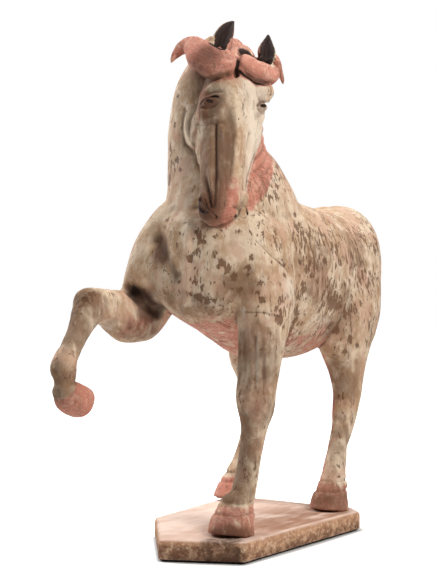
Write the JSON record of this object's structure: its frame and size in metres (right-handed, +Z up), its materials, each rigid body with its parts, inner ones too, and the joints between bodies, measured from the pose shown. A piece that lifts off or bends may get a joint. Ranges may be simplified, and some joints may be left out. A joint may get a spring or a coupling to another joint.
{
  "type": "pottery horse figure",
  "caption": "Pottery horse prancing with its right foreleg raised and its head turned to its left, with swept forelock and combed mane, standing on a flat clay slab.",
  "frame": {"origin": "on the underside of the slab, below the middle of the horse, which is the middle between its hooves from side to side and a point just behind its withers", "axes": "+Z up; the horse's body faces -Y and its left side is +X"},
  "size_m": [0.1974, 0.511, 0.5772],
  "materials": {
    "slipped_clay": "fired earthenware under a worn cream slip with traces of red pigment and earth",
    "slab_clay": "bare fired earthenware, pale and dusty on top, orange at the broken edges"
  },
  "bodies": {
    "root": {"horse": "slipped_clay", "base_slab": "slab_clay"}
  },
  "joints": []
}
